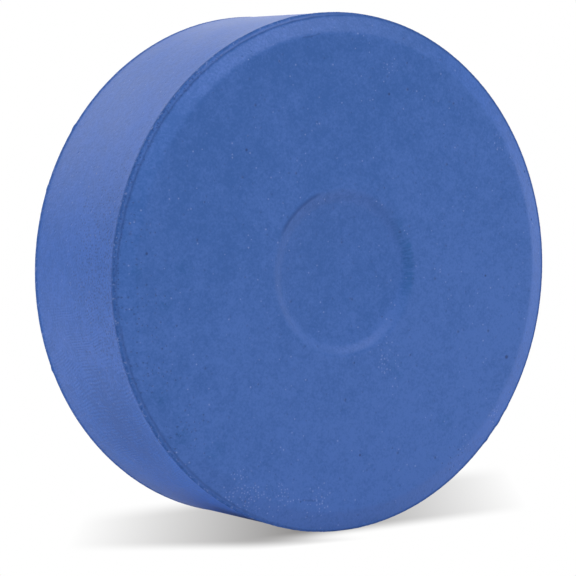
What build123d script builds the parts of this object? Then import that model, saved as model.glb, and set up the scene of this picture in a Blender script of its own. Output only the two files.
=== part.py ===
from build123d import *
import os

# A lightweight practice puck, moulded in one piece from solid rubber.
# It stands on its edge: the round axis lies along Y and Z points up.
# The origin is on the ground, under the middle of the puck.
# All lengths are in millimetres.

# Overall size
puck_diameter = 76.2            # over the two corner ridges
puck_thickness = 25.4           # flat face to flat face

# Sloped band round each flat face
bevel_width = 3.0               # inwards from the corner
bevel_height = 1.25             # back from the flat face
bevel_blend = 3.0               # radius that eases the band into the flat face

# Low ridge of flash that the mould leaves at each corner
ridge_height = 0.06             # proud of the side wall
ridge_land = 0.2                # flat top of the ridge, along the side wall
ridge_width = 0.6               # whole ridge, along the side wall

# Shallow round recess in the middle of each face
recess_radius = 12.4            # where the recess meets the flat face
recess_floor_radius = 10.2      # where its sloping wall meets its floor
recess_wall_drop = 0.8          # height of the sloping wall
recess_floor_dish = 0.4         # how much deeper the floor is in its middle
recess_rim_blend = 1.2          # radius along the recess's rim
recess_floor_blend = 2.0        # radius where the wall meets the floor

# Worked out from the sizes above
outer_radius = puck_diameter / 2
wall_radius = outer_radius - ridge_height
half_thickness = puck_thickness / 2
corner_height = half_thickness - bevel_height


def eased(outline, point, radius):
    """The outline with its corner nearest to a point rounded to a radius."""
    corner = outline.vertices().sort_by_distance(point)[0]
    return fillet(corner, radius)


def half_outline():
    """Half of the puck's cross-section, with X out from the axis and Y up from the middle."""
    floor_edge = (recess_floor_radius, half_thickness - recess_wall_drop)
    floor_middle = (0, floor_edge[1] - recess_floor_dish)
    recess_rim = (recess_radius, half_thickness)
    bevel_inner = (outer_radius - bevel_width, half_thickness)
    corner = (outer_radius, corner_height)
    ridge_edge = (outer_radius, corner_height - ridge_land)
    ridge_foot = (wall_radius, corner_height - ridge_width)
    wall_middle = (wall_radius, 0)
    floor_line = TangentArc(floor_middle, floor_edge, tangent=(1, 0))
    face_line = Polyline(floor_edge, recess_rim, bevel_inner, corner)
    side_line = Polyline(corner, ridge_edge, ridge_foot, wall_middle, (0, 0), floor_middle)
    outline = make_face(floor_line + face_line + side_line)
    outline = eased(outline, floor_edge, recess_floor_blend)
    outline = eased(outline, recess_rim, recess_rim_blend)
    return eased(outline, bevel_inner, bevel_blend)


def puck_body():
    """The whole puck: the cross-section turned about Y, then lifted to stand on its edge."""
    upper = half_outline()
    outline = upper + mirror(upper, Plane.XZ)
    body = revolve(outline, Axis.Y, 360)
    return Pos(0, 0, outer_radius) * body


os.makedirs("parts", exist_ok=True)
puck = puck_body()
export_step(puck, "parts/puck_body.step")
print(f"puck_body: {puck.volume / 1000:.1f} cubic centimetres")
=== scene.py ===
import math

import bpy
from mathutils import Matrix, Vector


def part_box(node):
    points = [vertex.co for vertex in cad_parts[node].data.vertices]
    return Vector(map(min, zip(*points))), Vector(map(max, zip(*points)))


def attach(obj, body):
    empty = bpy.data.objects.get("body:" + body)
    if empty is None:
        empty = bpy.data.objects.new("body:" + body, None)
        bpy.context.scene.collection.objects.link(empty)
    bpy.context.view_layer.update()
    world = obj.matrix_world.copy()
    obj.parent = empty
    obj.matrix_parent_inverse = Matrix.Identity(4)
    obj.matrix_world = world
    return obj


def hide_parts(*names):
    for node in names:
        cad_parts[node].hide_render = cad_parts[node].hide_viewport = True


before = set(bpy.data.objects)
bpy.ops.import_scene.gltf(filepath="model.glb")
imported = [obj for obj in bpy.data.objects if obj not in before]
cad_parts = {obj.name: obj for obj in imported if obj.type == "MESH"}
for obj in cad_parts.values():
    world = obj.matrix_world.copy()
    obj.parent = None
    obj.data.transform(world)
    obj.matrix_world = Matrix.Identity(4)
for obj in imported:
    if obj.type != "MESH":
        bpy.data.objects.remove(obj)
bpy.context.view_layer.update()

mm = 0.001
bodyLow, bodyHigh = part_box("puck_body")
bodyMiddle = (bodyLow + bodyHigh) / 2
outerRadius = (bodyHigh.x - bodyLow.x) / 2 / mm      # all the shape's sizes below are in millimetres
halfThick = (bodyHigh.y - bodyLow.y) / 2 / mm
print(f"frame: puck {2 * outerRadius:.1f} across and {2 * halfThick:.1f} thick")


class Wire:
    # one value on its way through a node tree; arithmetic on it adds Math nodes
    def __init__(self, bench, socket):
        self.bench = bench
        self.socket = socket

    def __add__(self, other):
        return self.bench.math("ADD", self, other)

    def __radd__(self, other):
        return self.bench.math("ADD", other, self)

    def __sub__(self, other):
        return self.bench.math("SUBTRACT", self, other)

    def __rsub__(self, other):
        return self.bench.math("SUBTRACT", other, self)

    def __mul__(self, other):
        return self.bench.math("MULTIPLY", self, other)

    def __rmul__(self, other):
        return self.bench.math("MULTIPLY", other, self)

    def __truediv__(self, other):
        return self.bench.math("DIVIDE", self, other)

    def __pow__(self, other):
        return self.bench.math("POWER", self, other)

    def __lt__(self, other):
        return self.bench.math("LESS_THAN", self, other)

    def __abs__(self):
        return self.bench.math("ABSOLUTE", self)


class Bench:
    # a node tree under construction, for a material or for geometry
    def __init__(self, tree):
        self.tree = tree

    def add(self, kind, settings=None, sockets=None):
        node = self.tree.nodes.new(kind)
        for name, value in (settings or {}).items():
            setattr(node, name, value)
        for key, value in (sockets or {}).items():
            if isinstance(value, Wire):
                self.tree.links.new(value.socket, node.inputs[key])
            else:
                node.inputs[key].default_value = value
        return node

    def get(self, kind, settings=None, sockets=None, output=0):
        return Wire(self, self.add(kind, settings, sockets).outputs[output])

    def math(self, operation, first, second=None):
        values = {0: first} if second is None else {0: first, 1: second}
        return self.get("ShaderNodeMath", {"operation": operation}, values)

    def vector(self, operation, first, second=None, output=0):
        values = {0: first} if second is None else {0: first, 1: second}
        return self.get("ShaderNodeVectorMath", {"operation": operation}, values, output)

    def scaled(self, vector, amount):
        return self.get("ShaderNodeVectorMath", {"operation": "SCALE"}, {"Vector": vector, "Scale": amount})

    def split(self, vector):
        node = self.add("ShaderNodeSeparateXYZ", None, {0: vector})
        return [Wire(self, socket) for socket in node.outputs]

    def joined(self, x, y, z):
        return self.get("ShaderNodeCombineXYZ", None, {0: x, 1: y, 2: z})

    def step(self, value, start, end):
        # 0 before start, 1 after end, eased between them; start may be the larger
        sockets = {"Value": value, "From Min": start, "From Max": end}
        return self.get("ShaderNodeMapRange", {"interpolation_type": "SMOOTHSTEP"}, sockets)

    def noise(self, place, size, detail=2.0, rough=0.5):
        # clouds about size millimetres across
        sockets = {"Vector": place, "Scale": 1 / size, "Detail": detail, "Roughness": rough}
        return self.get("ShaderNodeTexNoise", None, sockets)

    def spots(self, place, pitch, radius, share, hardness, flat=False):
        # round spots scattered about pitch millimetres apart; only a share of the cells has one
        settings = {"voronoi_dimensions": "2D" if flat else "3D"}
        cells = self.add("ShaderNodeTexVoronoi", settings, {"Vector": place, "Scale": 1 / pitch})
        distance = Wire(self, cells.outputs["Distance"]) * pitch
        chance, size, _ = self.split(Wire(self, cells.outputs["Color"]))
        edge = radius * (0.5 + size * 0.5)
        return self.step(distance, edge, edge * hardness) * (chance < share)

    def near(self, place, centre, radius):
        # 1 at the centre, eased to 0 at the radius
        return self.step(self.vector("DISTANCE", place, centre, 1), radius, 0)

    def stroke(self, place, start, end, width):
        # a line between two points, eased to nothing at half its width
        run = end - start
        along = self.vector("DOT_PRODUCT", self.vector("SUBTRACT", place, start), tuple(run), 1)
        share = self.get("ShaderNodeClamp", None, {"Value": along / run.length_squared})
        foot = self.vector("ADD", self.scaled(tuple(run), share), tuple(start))
        return self.step(self.vector("DISTANCE", place, foot, 1), width / 2, width / 8)

    def total(self, values):
        result = values[0]
        for value in values[1:]:
            result = result + value
        return result

    def weighted(self, parts, amounts):
        # each named part times its amount, added up
        return self.total([parts[name] * amount for name, amount in amounts.items()])

    def blend(self, amount, first, second):
        # a colour between two colours
        sockets = {0: amount, 6: first, 7: second}
        return self.get("ShaderNodeMix", {"data_type": "RGBA"}, sockets, 2)


# the puck's cross-section, in millimetres
puckShape = {
    "bevelWidth": 3.0,
    "bevelHeight": 1.25,
    "bevelBlend": 0.22,           # how softly the bevel leaves the flat face
    "ridgeHeight": 0.06,
    "ridgeLand": 0.2,
    "ridgeWidth": 0.6,
    "recessRadius": 12.4,
    "floorRadius": 10.2,
    "wallDrop": 0.8,
    "floorDish": 0.4,
    "segments": 1152,             # steps round the axis, at the corners
    # face rings: from and to what distance from the axis, how many, and one column kept in how many
    "rings": [
        (0, 8.6, 8, 8),
        (8.6, 13.4, 15, 4),
        (13.4, 26, 10, 4),
        (26, 34, 8, 2),
        (34, 35.7, 7, 2),
        (35.7, 37.1, 5, 2),
        (37.1, 38.1, 10, 1),
    ],
    "landSteps": 3,
    "ridgeSteps": 5,
    "wallSteps": 12,
}
cornerHeight = halfThick - puckShape["bevelHeight"]


def eased(amount):
    # the usual smooth step, on a plain number
    amount = min(max(amount, 0), 1)
    return amount * amount * (3 - 2 * amount)


def onPuck(clock, distance, height):
    # a point by its angle from the top, clockwise as the front is seen, and its distance from the axis
    turn = math.radians(clock)
    return Vector((distance * math.sin(turn), height, distance * math.cos(turn)))


def faceHeight(shape, radius):
    # how far the front face stands from the middle of the puck, at a distance from the axis
    dish = shape["floorDish"] * max(0, 1 - (radius / shape["floorRadius"]) ** 2)
    wallRun = shape["recessRadius"] - shape["floorRadius"]
    wall = shape["wallDrop"] * (1 - eased((radius - shape["floorRadius"]) / wallRun))
    past = radius - (outerRadius - shape["bevelWidth"])
    blend = shape["bevelBlend"]
    slope = shape["bevelHeight"] / shape["bevelWidth"]
    bevel = slope * (past + math.sqrt(past * past + blend * blend)) / 2
    return halfThick - dish - wall - bevel


def crossSection(shape):
    # points (distance from the axis, height, column step) from one face's middle to the other's
    points = []
    for start, end, count, keep in shape["rings"]:
        for step in range(count):
            radius = start + (end - start) * step / count
            points.append((radius, faceHeight(shape, radius), keep))
    corner = faceHeight(shape, outerRadius)
    wallRadius = outerRadius - shape["ridgeHeight"]
    ridgeEdge = corner - shape["ridgeLand"]
    ridgeFoot = corner - shape["ridgeWidth"]
    for step in range(shape["landSteps"]):
        points.append((outerRadius, corner - shape["ridgeLand"] * step / shape["landSteps"], 1))
    for step in range(shape["ridgeSteps"]):
        share = step / shape["ridgeSteps"]
        radius = outerRadius - shape["ridgeHeight"] * eased(share)
        points.append((radius, ridgeEdge - (shape["ridgeWidth"] - shape["ridgeLand"]) * share, 1))
    for step in range(shape["wallSteps"] + 1):
        points.append((wallRadius, ridgeFoot * (1 - step / shape["wallSteps"]), 2))
    return points + [(radius, -height, keep) for radius, height, keep in reversed(points[:-1])]


def profileObject(points):
    mesh = bpy.data.meshes.new("puckSection")
    edges = [(i, i + 1) for i in range(len(points) - 1)]
    mesh.from_pydata([(radius * mm, height * mm, 0) for radius, height, _ in points], edges, [])
    steps = mesh.attributes.new("columnStep", "FLOAT", "POINT")
    for item, (_, _, keep) in zip(steps.data, points):
        item.value = keep
    section = bpy.data.objects.new("puckBody", mesh)
    bpy.context.scene.collection.objects.link(section)
    return section


class Skin:
    # a place on the puck, measured from its middle in millimetres, and which part of it that is
    def __init__(self, bench, place):
        self.bench = bench
        self.place = place
        self.x, self.y, self.z = bench.split(place)
        self.fromAxis = (self.x * self.x + self.z * self.z) ** 0.5
        self.front = self.y < 0
        outside = bench.step(self.fromAxis, outerRadius - 0.6, outerRadius - 0.3)
        self.onWall = outside * bench.step(abs(self.y), cornerHeight, cornerHeight - 0.6)
        self.onFace = 1 - self.onWall
        self.turn = bench.math("ARCTAN2", self.x, self.z)
        self.arc = self.turn * outerRadius

    def near(self, clock, distance, height, radius):
        # 1 at a point of the puck, eased to 0 at the radius
        return self.bench.near(self.place, onPuck(clock, distance, height), radius)

    def facing(self, clock, start, end):
        # eased from 0 to 1 as the front turns towards an angle from the top
        aim = onPuck(clock, 1, 0)
        lean = (self.x * aim.x + self.z * aim.z) / (self.fromAxis + 0.01)
        return self.bench.step(lean, start, end) * self.front

    def patches(self, patches, height):
        # each patch is an angle from the top, a distance from the axis, a radius and a strength
        shown = [
            self.near(clock, distance, height, radius) * strength
            for clock, distance, radius, strength in patches
        ]
        return self.bench.total(shown)


# how the moulded shape departs from a perfect turned one, in millimetres
puckWear = {
    "Unevenness": 0.02,           # long waves over the whole skin
    "Ripple": 0.006,              # shorter ones
    "Ridge crumble": 0.04,        # how much of the ridge is broken away
    "Crease depth": 0.14,         # groove just inside the ridge
    "Recess lip": 0.13,           # step round the upper left of the front recess
    "Dent depth": 0.05,
}

# bites out of the corners: angle from the top, which face, radius and depth
cornerBites = [
    (130, -1, 1.3, 0.1),
    (135, -1, 0.9, 0.12),
    (126, -1, 0.9, 0.07),
    (-12, -1, 1.2, 0.06),
    (-64, -1, 0.9, 0.1),
    (-95, -1, 0.8, 0.1),
    (-118, -1, 0.7, 0.12),
    (-55, 1, 0.9, 0.12),
    (-70, 1, 0.8, 0.1),
    (-111, 1, 0.8, 0.12),
    (40, 1, 1.1, 0.16),
    (155, 1, 1.3, 0.16),
]

# the crease just inside each corner, in millimetres: it lies further in on the left of the front
creaseShape = {
    "inset": 0.12,
    "leftInset": 0.1,
    "upperLeftInset": 0.36,
    "lowerLeftInset": 0.3,
    "wander": 0.7,
    "halfWidth": 0.12,
    "ragged": 0.1,
    "leftRagged": 0.3,
}


def cornerWear(skin, shape):
    # where the corner is creased and crumbled: the shape and the finish both use it, and the finish paints
    # shade into the crease
    bench = skin.bench
    place = skin.place
    height = abs(skin.y)
    across = skin.fromAxis - outerRadius
    leftFront = bench.step(skin.x, 14, -18) * skin.front
    upperLeft = skin.facing(-42, 0.5, 0.9)
    lowerLeft = skin.facing(-128, 0.75, 0.95)
    wobble = (bench.noise(place, 1.6, 2.0, 0.7) - 0.5) * shape["wander"]
    loose = leftFront * (1 - upperLeft * 0.75) * (1 - lowerLeft * 0.8)
    inset = shape["inset"] + shape["leftInset"] * leftFront
    inset = inset + shape["upperLeftInset"] * upperLeft + shape["lowerLeftInset"] * lowerLeft
    lane = abs(across + inset + wobble * loose)
    ragged = bench.noise(place, 0.5, 1.0) * (shape["ragged"] + shape["leftRagged"] * leftFront)
    groove = bench.step(lane, shape["halfWidth"] + ragged, 0.0)
    onBevel = bench.step(height, cornerHeight - 0.15, cornerHeight)
    broken = bench.step(bench.noise(place, 2.0, 3.0, 0.9), 0.38, 0.6)
    sure = bench.math("MAXIMUM", broken, bench.math("MAXIMUM", upperLeft, lowerLeft) * 0.8)
    creaseAndPaintedShade = groove * onBevel * (0.55 * (1 - leftFront) + sure * leftFront)
    down = height - (cornerHeight - 0.15)
    atCorner = bench.step((across * across + down * down) ** 0.5, 0.65, 0.15)
    crumbly = bench.step(bench.noise(place, 0.6, 2.0, 0.7), 0.42, 0.62)
    crumbs = atCorner * crumbly * (0.35 + 0.65 * leftFront)
    return creaseAndPaintedShade, crumbs, atCorner


def recessLip(skin):
    # the front recess has a small step at its upper left
    bench = skin.bench
    ragged = bench.noise(skin.place, 1.2, 2.0) * 0.4
    fromRim = abs(skin.fromAxis - puckShape["recessRadius"] - 0.05)
    return bench.step(fromRim, 0.3 + ragged, 0) * skin.facing(-39, 0.9, 0.98)


def latheTree(shape, wear, bites, finish):
    # wraps a grid round the axis so that each of its rows takes one point of the cross-section
    tree = bpy.data.node_groups.new("puckLathe", "GeometryNodeTree")
    tree.interface.new_socket("Geometry", in_out="INPUT", socket_type="NodeSocketGeometry")
    tree.interface.new_socket("Segments", in_out="INPUT", socket_type="NodeSocketInt")
    tree.interface.new_socket("Axis height", in_out="INPUT", socket_type="NodeSocketFloat")
    for name in wear:
        tree.interface.new_socket(name, in_out="INPUT", socket_type="NodeSocketFloat")
    tree.interface.new_socket("Geometry", in_out="OUTPUT", socket_type="NodeSocketGeometry")
    bench = Bench(tree)
    inlet = bench.add("NodeGroupInput")
    given = {socket.name: Wire(bench, socket) for socket in inlet.outputs if socket.name}
    section = given["Geometry"]
    rows = bench.get("GeometryNodeAttributeDomainSize", {"component": "MESH"}, {0: section}, "Point Count")
    sheet = bench.get(
        "GeometryNodeMeshGrid",
        None,
        {"Size X": 1.0, "Size Y": 1.0, "Vertices X": given["Segments"] + 1, "Vertices Y": rows},
    )
    across, along, _ = bench.split(bench.get("GeometryNodeInputPosition"))
    row = bench.math("ROUND", (along + 0.5) * (rows - 1))
    sample = bench.get(
        "GeometryNodeSampleIndex",
        {"data_type": "FLOAT_VECTOR", "domain": "POINT"},
        {"Geometry": section, "Value": bench.get("GeometryNodeInputPosition"), "Index": row},
    )
    radius, height, _ = bench.split(sample)
    # rows that need fewer columns share one place between neighbours, and the merge joins those
    stepHere = bench.get("GeometryNodeInputNamedAttribute", {"data_type": "FLOAT"}, {"Name": "columnStep"})
    keep = bench.get(
        "GeometryNodeSampleIndex",
        {"data_type": "FLOAT", "domain": "POINT"},
        {"Geometry": section, "Value": stepHere, "Index": row},
    )
    column = bench.math("ROUND", (across + 0.5) * given["Segments"])
    column = bench.math("FLOOR", column / keep) * keep
    turn = column / given["Segments"] * (2 * math.pi)
    onSkin = bench.joined(radius * bench.math("SINE", turn), height, radius * bench.math("COSINE", turn))
    turned = bench.get("GeometryNodeSetPosition", None, {"Geometry": sheet, "Position": onSkin})
    closed = bench.get("GeometryNodeMergeByDistance", None, {"Geometry": turned, "Distance": 1e-6})

    # the moulded skin's waves and dents, and what is lost at the corners
    place = bench.scaled(bench.get("GeometryNodeInputPosition"), 1 / mm)
    skin = Skin(bench, place)
    creaseAndPaintedShade, crumbs, _ = cornerWear(skin, creaseShape)
    waves = (bench.noise(place, 9.0) - 0.5) * given["Unevenness"] * 2
    ripple = (bench.noise(place, 2.4, 1.0) - 0.5) * given["Ripple"] * 2
    dents = bench.spots(place, 6.0, 1.6, 0.4, 0.0) * given["Dent depth"]
    bitten = bench.total(
        [
            skin.near(clock, outerRadius + 0.3, side * cornerHeight, radius) * depth
            for clock, side, radius, depth in bites
        ]
    )
    lost = creaseAndPaintedShade * given["Crease depth"] + crumbs * given["Ridge crumble"]
    lost = lost + recessLip(skin) * given["Recess lip"]
    change = waves + ripple - lost - bitten - dents
    moved = bench.scaled(bench.get("GeometryNodeInputNormal"), change * mm)
    worn = bench.get("GeometryNodeSetPosition", None, {"Geometry": closed, "Offset": moved})
    lift = bench.joined(0, 0, given["Axis height"])
    lifted = bench.get("GeometryNodeSetPosition", None, {"Geometry": worn, "Offset": lift})
    smooth = bench.get("GeometryNodeSetShadeSmooth", None, {"Geometry": lifted})
    real = bench.get("GeometryNodeRealizeInstances", None, {"Geometry": smooth})
    finished = bench.get("GeometryNodeSetMaterial", None, {"Geometry": real, "Material": finish})
    bench.add("NodeGroupOutput", None, {0: finished})
    return tree


def madeMesh(section, tree, values):
    # runs the tree on the section and keeps the result as a plain mesh
    lathe = section.modifiers.new("lathe", "NODES")
    lathe.node_group = tree
    for socket in tree.interface.items_tree:
        if socket.in_out == "INPUT" and socket.name in values:
            lathe[socket.identifier] = values[socket.name]
    graph = bpy.context.evaluated_depsgraph_get()
    mesh = bpy.data.meshes.new_from_object(section.evaluated_get(graph))
    section.modifiers.remove(lathe)
    section.data = mesh
    return section


def outward(piece):
    # a closed shell is inside out when its volume comes out negative
    corners = [vertex.co for vertex in piece.data.vertices]
    volume = 0
    for triangle in piece.data.loop_triangles:
        first, second, third = (corners[i] for i in triangle.vertices)
        volume += first.cross(second).dot(third)
    return volume > 0


# colours are linear; a tint multiplies the colour under it
rubberLook = {
    "deep": (0.028, 0.111, 0.374, 1),
    "chalky": (0.053, 0.147, 0.461, 1),
    "wallTint": (0.9, 0.99, 1.1),     # the wall is a little more violet
    "lowWallShadeTint": (0.52, 1.07, 1.17),    # painted shade: a clearer blue towards the ground, where less light falls from above
    "lowLeftPatchTint": (0.58, 0.76, 0.8),
    "bevelRightShadeTint": (0.84, 1.0, 1.1),    # painted shade on the right of each bevel
    "bevelSheenTint": (1.4, 1.2, 1.16),     # painted sheen: the front bevel is paler at its upper left
    "smudgeAndShadeTint": (0.42, 0.8, 0.82),  # where the skin is smudged dark, and painted shade on the recess's right wall
    "pinhole": (0.014, 0.055, 0.2, 1),
    # painted shade, for the crease, the corners and the recess's step
    "creaseAndPaintedShade": (0.014, 0.066, 0.25, 1),
    # painted shade where the wall stands on the ground
    "groundContactShade": (0.006, 0.045, 0.19, 1),
    "dust": (0.3, 0.38, 0.68, 1),
    "middleTone": 0.54,               # 0 is all deep, 1 is all chalky
    "roughness": 0.5,
    "specular": 0.56,
    "specularTint": (0.76, 0.72, 1, 1),
}

# how much each part of the finish adds to the tone, to the roughness, and to the relief in millimetres
toneAmounts = {
    "clouds": 1.0,
    "mottle": 1.8,
    "grain": 1.8,
    "wallGrain": 0.3,
    "roughGrain": 1.2,
    "cornerGrain": 2.5,
    "face": 0.03,
    "paintedLightDrift": 0.32,                # painted light: paler towards the bottom and the right
    "toolLines": 0.9,
    "blotches": 3.0,
    "lowLeftPatch": -0.4,
    "recessPaintedLight": 0.5,
    "recessShade": -0.12,
}
roughnessAmounts = {
    "corner": 0.4,
    "clouds": 0.12,
    "mottle": 0.1,
    "dust": 0.1,
}
reliefAmounts = {
    "grain": 0.03,
    "mottle": 0.04,
    "toolLines": 0.028,
    "pinholes": -0.08,
    "pits": -0.08,
    "faintHoles": -0.04,
}

# the lines that a tool left across the wall, in millimetres
toolLines = {
    "pitch": 0.5,
    "slant": 0.25,
    "longBend": 6,
    "shortBend": 0.35,
    "elsewhere": 0.06,            # how clear they are away from the low left
}

# scattered spots: pitch and radius in millimetres, and how hard the edge is, from 0 to 1
spotSizes = {
    "pinholes": (9.0, 0.36, 0.0),
    "faintHoles": (3.2, 0.3, 0.0),
    "pits": (0.75, 0.24, 0.1),
    "rimPits": (0.5, 0.26, 0.1),
    "specks": (5.5, 0.2, 0.1),
    "dust": (0.5, 0.21, 0.2),
}

# patches on the front: angle from the top, distance from the axis, radius, and share of spots or strength;
# on some there is dust, on others the skin is pitted or smudged dark, and on the last ones the recess's wall
# is painted lighter
dustPatches = [
    (150, 15.2, 3.6, 0.5),
    (15, 31.0, 2.6, 0.4),
    (58, 33.1, 2.2, 0.4),
    (-150, 35.3, 4.5, 0.9),
    (-160, 33.8, 4.0, 0.6),
    (-172, 34.0, 4.0, 0.4),
    (141, 34.5, 1.6, 0.5),
    (129, 36.4, 2.4, 0.9),
]
pittedPatches = [
    (-78, 36.0, 6.0, 0.5),
    (-95, 35.8, 6.0, 0.6),
    (-110, 35.5, 6.5, 0.7),
    (-128, 35.5, 6.0, 0.6),
    (147, 36.0, 4.0, 0.4),
]
smudges = [
    (-86, 27.4, 2.4, 0.5),
    (-95, 30.5, 2.0, 0.45),
    (-87, 34.9, 1.6, 0.5),
    (-117, 35.5, 1.8, 0.6),
    (-128, 35.9, 2.4, 0.6),
    (-137, 33.1, 2.4, 0.45),
    (-4, 31.3, 2.0, 0.3),
    (142, 29.4, 2.2, 0.4),
    (148, 17.5, 2.6, 0.35),
]
recessLightPatches = [
    (137, 11.0, 8.0, 1.0),
    (-140, 11.3, 9.0, 1.0),
    (25, 11.6, 8.0, 0.4),
]

# the clearest pinholes: angle from the top, distance from the axis, height along it, radius
clearHoles = [
    (115.5, 33.2, -12.7, 0.42),
    (-42.0, 24.8, -12.7, 0.3),
    (18.0, 27.4, -12.7, 0.3),
    (-82.5, 33.6, -12.7, 0.3),
    (93.6, 26.1, -12.7, 0.26),
    (174.8, 27.1, -12.7, 0.28),
]

# rubs and cuts: two ends, each an angle, a distance from the axis and a height along it; width; strength
rubs = [
    ((-49.0, 37.9, 0.9), (-49.3, 37.9, -1.0), 0.22, 0.2),
    ((-49.3, 37.9, 3.9), (-51.0, 37.9, 1.0), 0.16, 0.16),
    ((-136.5, 37.9, 5.7), (-135.8, 37.9, -5.0), 0.3, 0.12),
    ((-135.8, 37.9, -5.0), (-137.7, 37.9, -12.0), 0.25, 0.1),
]
cuts = [
    ((-10.7, 35.0, -12.6), (-8.4, 34.9, -12.6), 0.45, 0.4),
    ((-8.4, 34.9, -12.6), (-6.0, 35.1, -12.6), 0.35, 0.35),
    ((-166.7, 33.6, -12.7), (-170.3, 33.5, -12.7), 0.4, 0.35),
]


def toolMarks(skin, lines):
    # faint tool lines across the wall, clearest low on the left, where it is blotchy and darker in a patch
    # too
    bench = skin.bench
    place = skin.place
    bend = bench.noise(place, 16.0, 1.0) * lines["longBend"]
    bend = bend + (bench.noise(place, 3.0, 1.0) - 0.5) * lines["shortBend"]
    wave = bench.math("SINE", (skin.arc + bend + skin.y * lines["slant"]) * (2 * math.pi / lines["pitch"]))
    lowLeft = skin.near(-117, 37.9, -2, 27)
    clearness = lines["elsewhere"] + (1 - lines["elsewhere"]) * lowLeft
    patches = bench.step(bench.noise(place, 3.4, 2.0, 0.7), 0.36, 0.62)
    short = 0.35 + 0.65 * bench.step(bench.noise(place, 1.2, 1.0), 0.4, 0.6)
    drawn = wave * skin.onWall * clearness * patches * short
    rough = lowLeft * skin.onWall
    blotches = (bench.noise(place, 2.0, 2.0, 0.8) - 0.5) * rough
    lowLeftPatch = skin.near(-124, 37.9, -3, 15) * skin.onWall
    return drawn, rough, blotches, lowLeftPatch


def recessWallShading(skin):
    # painted shade and light: the recess's wall is darker on its right, in short radial ticks, and paler low
    # down and at its top
    bench = skin.bench
    ticks = bench.noise(bench.joined(skin.turn * 34, skin.fromAxis * 0.35, 0), 1.0, 1.0)
    rightWall = bench.step(abs(skin.fromAxis - 11.9), 1.3, 0.3) * skin.near(80, 11.8, -12.4, 9.5)
    dark = rightWall * skin.front * (0.4 + 1.2 * bench.step(ticks, 0.42, 0.6))
    wall = bench.step(abs(skin.fromAxis - 11.2), 1.5, 0.3) * skin.front
    return dark, skin.patches(recessLightPatches, -12.2) * wall


def smudged(skin):
    # dark smudges with ragged edges
    ragged = skin.bench.step(skin.bench.noise(skin.place, 0.9, 2.0, 0.7), 0.38, 0.6)
    return skin.patches(smudges, -12.6) * ragged * skin.front * 1.5


def rubberColour(skin, look, tone, lowLeftPatch, dark):
    # the rubber's own colour, then the broad tints over it, some of which are painted shade and sheen
    bench = skin.bench
    bevel = bench.step(skin.fromAxis, outerRadius - 3.2, outerRadius - 2.6)
    softBevel = bench.step(skin.fromAxis, outerRadius - 3.5, outerRadius - 2.2)
    tints = [
        ("wallTint", skin.onWall),
        ("lowWallShadeTint", skin.onWall * bench.step(skin.z, -8, -28) * bench.step(skin.y, 12, 5)),
        ("lowLeftPatchTint", lowLeftPatch),
        ("bevelRightShadeTint", skin.onFace * bevel * bench.step(skin.x, 10, 30)),
        ("bevelSheenTint", skin.onFace * softBevel * skin.near(-30, 36.6, -12, 32)),
        ("smudgeAndShadeTint", bench.math("MINIMUM", dark, 1)),
    ]
    colour = bench.blend(bench.get("ShaderNodeClamp", None, {"Value": tone}), look["deep"], look["chalky"])
    for name, amount in tints:
        colour = bench.blend(amount, colour, bench.vector("MULTIPLY", colour, look[name]))
    return colour


def laidFlat(skin):
    # each face seen along the axis, and the wall unrolled, with the three kept apart
    bench = skin.bench
    aside = 200
    wall = bench.joined(skin.arc, skin.y + aside, 0)
    face = bench.joined(skin.x + aside * skin.front, skin.z, 0)
    return bench.get("ShaderNodeMix", {"data_type": "VECTOR"}, {0: skin.onWall, 4: face, 5: wall}, 1)


def scattered(skin, sizes):
    # each kind of spot, by its name in the sizes
    bench = skin.bench
    onCorner = bench.step(abs(skin.y), cornerHeight - 1.0, cornerHeight - 0.2)
    rim = skin.near(-88, 38, -11.5, 19) + skin.near(-50, 38, -11.5, 17) * onCorner
    rim = rim * bench.step(skin.fromAxis, outerRadius - 1.1, outerRadius - 0.4)
    shares = {
        "pinholes": 0.6,
        "faintHoles": 0.7,
        "pits": skin.patches(pittedPatches, -12.3) * skin.front,
        "rimPits": rim * skin.front,
        "specks": 0.7,
        "dust": skin.patches(dustPatches, -12.5) * skin.front + 0.012,
    }
    flat = laidFlat(skin)
    spots = {}
    for name, (pitch, radius, hardness) in sizes.items():
        spots[name] = bench.spots(flat, pitch, radius, shares[name], hardness, True)
    return spots


def singleHoles(skin, holes):
    shown = []
    for clock, distance, height, radius in holes:
        fromHole = skin.bench.vector("DISTANCE", skin.place, onPuck(clock, distance, height), 1)
        shown.append(skin.bench.step(fromHole, radius, radius / 3))
    return skin.bench.math("MINIMUM", skin.bench.total(shown), 1)


def strokes(skin, lines):
    drawn = [
        skin.bench.stroke(skin.place, onPuck(*start), onPuck(*end), width) * strength
        for start, end, width, strength in lines
    ]
    return skin.bench.total(drawn)


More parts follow.
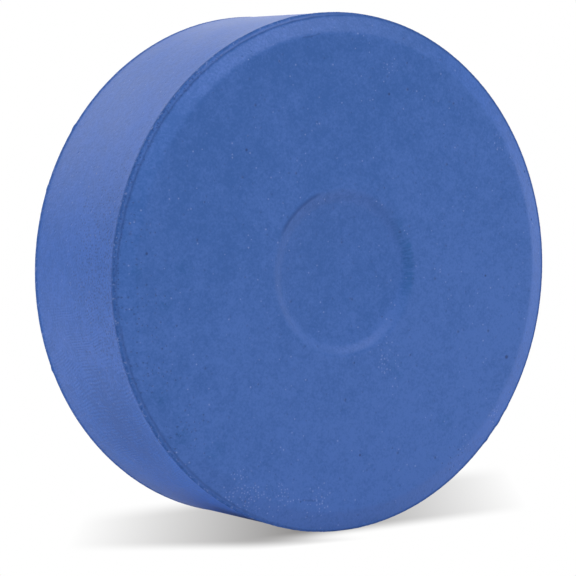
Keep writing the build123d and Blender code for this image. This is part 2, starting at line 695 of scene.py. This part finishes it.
def rubberFinish(look):
    finish = bpy.data.materials.new("blueRubber")
    finish.use_nodes = True
    finish.node_tree.nodes.clear()
    bench = Bench(finish.node_tree)
    own = bench.get("ShaderNodeTexCoord", None, None, "Object")
    centred = bench.vector("SUBTRACT", own, (0, 0, outerRadius * mm))
    skin = Skin(bench, bench.scaled(centred, 1 / mm))
    creaseAndPaintedShade, crumbs, atCorner = cornerWear(skin, creaseShape)
    lines, rough, blotches, lowLeftPatch = toolMarks(skin, toolLines)
    recessShadeAndTicks, recessPaintedLight = recessWallShading(skin)
    spots = scattered(skin, spotSizes)

    grain = bench.noise(skin.place, 0.34, 1.0, 0.7) - 0.5
    parts = {
        "clouds": bench.noise(skin.place, 7.0, 2.0, 0.6) - 0.5,
        "mottle": bench.noise(skin.place, 1.5, 2.0, 0.9) - 0.5,
        "grain": grain,
        "wallGrain": grain * skin.onWall,
        "roughGrain": grain * rough,
        "cornerGrain": grain * atCorner,
        "corner": atCorner,
        "face": skin.onFace,
        "paintedLightDrift": skin.onFace * (skin.x * 0.5 - skin.z) / outerRadius,
        "toolLines": lines,
        "blotches": blotches,
        "lowLeftPatch": lowLeftPatch,
        # painted light on the recess's wall, paler low down and at its top
        "recessPaintedLight": recessPaintedLight,
        # painted shade: darker within the recess
        "recessShade": bench.step(skin.fromAxis, 12.6, 11.6),
        **spots,
    }
    tone = look["middleTone"] + bench.weighted(parts, toneAmounts)
    roughness = look["roughness"] + bench.weighted(parts, roughnessAmounts)
    relief = bench.weighted(parts, reliefAmounts)
    colour = rubberColour(skin, look, tone, lowLeftPatch, recessShadeAndTicks + smudged(skin))

    # what covers the colour, from the lowest layer up: how strongly, and with what; some layers are painted
    # shade
    # painted shade along the corners, darker towards the right
    cornerEdgeShade = atCorner * (0.35 + 0.5 * bench.step(skin.x, 0, 25))
    chips = atCorner * bench.step(bench.noise(skin.place, 0.5, 1.0), 0.58, 0.7) * bench.step(skin.x, 10, -20)
    # painted shade low on the front of the wall, where it meets the ground
    groundContactShade = skin.onWall * bench.step(skin.z, -33, -35.4) * bench.step(skin.y, 2, -6)
    layers = [
        (spots["faintHoles"] * 0.35 * (0.3 + 0.7 * skin.onFace), "pinhole"),
        (spots["pits"] * 0.45, "pinhole"),
        (spots["rimPits"] * 0.75, "pinhole"),
        (spots["pinholes"] * 0.6 * (0.2 + 0.8 * skin.onFace), "pinhole"),
        (singleHoles(skin, clearHoles) * 0.95, "pinhole"),
        (spots["specks"] * 0.22, "dust"),
        (spots["dust"] * 0.42, "dust"),
        (strokes(skin, rubs), "dust"),
        (strokes(skin, cuts), "pinhole"),
        # painted shade along the corners, with the dark specks of the crumbs
        (bench.math("MAXIMUM", cornerEdgeShade, crumbs * 0.7), "creaseAndPaintedShade"),
        # painted shade in the crease
        (creaseAndPaintedShade * 0.7, "creaseAndPaintedShade"),
        (chips * 0.35, "dust"),
        # painted shade where the wall meets the ground
        (groundContactShade * 0.75, "groundContactShade"),
        # painted shade in the recess's step at its upper left
        (recessLip(skin) * 0.75, "creaseAndPaintedShade"),
    ]
    for amount, paint in layers:
        colour = bench.blend(amount, colour, look[paint])

    bump = bench.get("ShaderNodeBump", None, {"Height": relief, "Distance": mm, "Strength": 1.0})
    surface = bench.get(
        "ShaderNodeBsdfPrincipled",
        None,
        {
            "Base Color": colour,
            "Roughness": roughness,
            "Normal": bump,
            "Specular IOR Level": look["specular"],
            "Specular Tint": look["specularTint"],
        },
    )
    bench.add("ShaderNodeOutputMaterial", None, {"Surface": surface})
    return finish


def buildPuck():
    finish = rubberFinish(rubberLook)
    section = profileObject(crossSection(puckShape))
    tree = latheTree(puckShape, puckWear, cornerBites, finish)
    values = dict(puckWear)
    values["Segments"] = puckShape["segments"]
    values["Axis height"] = outerRadius * mm
    puck = madeMesh(section, tree, values)
    puck.name = "puckBody"
    puck.data.calc_loop_triangles()
    if not outward(puck):
        puck.data.flip_normals()
    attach(puck, "root")
    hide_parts("puck_body")
    print(f"puck: {len(puck.data.loop_triangles)} triangles")


studioLook = {
    "floorColour": (0.95, 0.95, 0.95, 1),
    "floorRadius": 0.9,              # metres, as are the next six
    "shadowMiddle": 0.001,           # along the shadow's own direction, from the origin
    "shadowReach": 0.0345,
    "frontEdge": (-0.008, -0.016),   # where it starts to fade and where it is gone, along Y
    "frontSide": (-0.02, 0.0),       # the front edge holds to the right of this, along X
    "nearEdge": (-0.017, -0.026),    # across the shadow's own direction
    "backEdge": (0.016, 0.03),       # along Y
    "shadowTurn": -33.6,             # the shadow's own direction, in degrees from X
    "shadowCore": (0.255, 0.248, 0.246, 1),
    "skyStrength": 0.3,              # light that the surroundings give
    "backdropStrength": 1.0,         # how they look
}


def buildFloor(look):
    steps = 96
    turns = [2 * math.pi * step / steps for step in range(steps)]
    rim = [(look["floorRadius"] * math.cos(turn), look["floorRadius"] * math.sin(turn), 0) for turn in turns]
    mesh = bpy.data.meshes.new("studioFloor")
    mesh.from_pydata(rim, [], [range(steps)])
    floor = bpy.data.objects.new("studioFloor", mesh)
    bpy.context.scene.collection.objects.link(floor)
    paper = bpy.data.materials.new("palePaper")
    paper.use_nodes = True
    paper.node_tree.nodes.clear()
    bench = Bench(paper.node_tree)
    place = bench.get("ShaderNodeTexCoord", None, None, "Object")
    x, y, _ = bench.split(place)
    turn = math.radians(look["shadowTurn"])
    along = x * math.cos(turn) + y * math.sin(turn)
    across = y * math.cos(turn) - x * math.sin(turn)
    # darkest under the puck, fading evenly to both sides and softly at the front and the back
    fade = abs(along - look["shadowMiddle"]) / look["shadowReach"]
    front = bench.step(y, *look["frontEdge"]) * bench.step(x, *look["frontSide"])
    front = bench.math("MINIMUM", front + bench.step(across, *look["nearEdge"]), 1)
    kept = (1 - front) * (1 - bench.step(y, *look["backEdge"]))
    shadow = bench.math("MAXIMUM", 1 - fade, 0) * kept
    tone = bench.blend(shadow, (1, 1, 1, 1), look["shadowCore"])
    matt = bench.get("ShaderNodeBsdfDiffuse", None, {"Color": look["floorColour"]})
    shown = bench.get("ShaderNodeEmission", None, {"Color": tone, "Strength": 1.0})
    # the drawn shadow is only seen; the light that the floor gives back to the puck is that of matt paper
    seen = bench.get("ShaderNodeLightPath", None, None, "Is Camera Ray")
    surface = bench.get("ShaderNodeMixShader", None, {0: seen, 1: matt, 2: shown})
    bench.add("ShaderNodeOutputMaterial", None, {"Surface": surface})
    mesh.materials.append(paper)


def buildWorld(look):
    world = bpy.data.worlds.new("studioWorld")
    world.use_nodes = True
    world.node_tree.nodes.clear()
    bench = Bench(world.node_tree)
    white = (1, 1, 1, 1)
    light = bench.get("ShaderNodeBackground", None, {"Color": white, "Strength": look["skyStrength"]})
    backdrop = bench.get("ShaderNodeBackground", None, {"Color": white, "Strength": look["backdropStrength"]})
    seen = bench.get("ShaderNodeLightPath", None, None, "Is Camera Ray")
    surface = bench.get("ShaderNodeMixShader", None, {0: seen, 1: light, 2: backdrop})
    bench.add("ShaderNodeOutputWorld", None, {"Surface": surface})
    bpy.context.scene.world = world


# soft square panels that face the puck's middle: bearing and height in degrees, size in metres, and glow
lampDistance = 0.6            # metres
lamps = {
    "keyRight": {"bearing": 26, "height": 55, "size": 0.4, "glow": 3.6},
    "topRight": {"bearing": 86, "height": 55, "size": 0.4, "glow": 0.65},
    "backRight": {"bearing": 146, "height": 25, "size": 0.4, "glow": 1.5},
    "backLeft": {"bearing": 191, "height": 25, "size": 0.4, "glow": 1.65},
    "frontLeft": {"bearing": -79, "height": 25, "size": 0.4, "glow": 2.6},
    "lowRight": {"bearing": 86, "height": 3, "size": 0.25, "glow": 2.1},
}


def direction(bearing, height):
    # bearing 0 is the front, 90 the right; height is the angle above the level
    turn = math.radians(bearing)
    rise = math.radians(height)
    return Vector((math.sin(turn) * math.cos(rise), -math.cos(turn) * math.cos(rise), math.sin(rise)))


def buildLamps():
    for name, lamp in lamps.items():
        data = bpy.data.lights.new(name, "AREA")
        data.shape = "SQUARE"
        data.size = lamp["size"]
        data.energy = lamp["glow"] * math.pi * lamp["size"] ** 2
        panel = bpy.data.objects.new(name, data)
        bpy.context.scene.collection.objects.link(panel)
        panel.location = bodyMiddle + direction(lamp["bearing"], lamp["height"]) * lampDistance
        panel.rotation_mode = "QUATERNION"
        panel.rotation_quaternion = (bodyMiddle - panel.location).to_track_quat("-Z", "Y")
        panel.visible_camera = False


# the camera looks at the puck's middle; its shift sets the puck a little high and right in the frame
cameraSetup = {
    "bearing": -33.56,
    "height": 3.85,
    "roll": -0.77,
    "distance": 0.3957,
    "lens": 164.6,
    "shift": (-0.0139, -0.0329),
}


def buildCamera(setup):
    back = direction(setup["bearing"], setup["height"])
    data = bpy.data.cameras.new("studioCamera")
    data.lens = setup["lens"]
    data.sensor_width = 36
    data.shift_x, data.shift_y = setup["shift"]
    data.clip_start = 0.01
    camera = bpy.data.objects.new("studioCamera", data)
    bpy.context.scene.collection.objects.link(camera)
    camera.location = bodyMiddle + back * setup["distance"]
    level = (-back).to_track_quat("-Z", "Y").to_matrix().to_4x4()
    camera.rotation_euler = (level @ Matrix.Rotation(math.radians(setup["roll"]), 4, "Z")).to_euler()
    bpy.context.scene.camera = camera


buildCamera(cameraSetup)
buildPuck()
buildFloor(studioLook)
buildWorld(studioLook)
buildLamps()
bpy.context.scene.view_settings.view_transform = "Standard"
print("studio: floor, surroundings, lamps and camera are set")
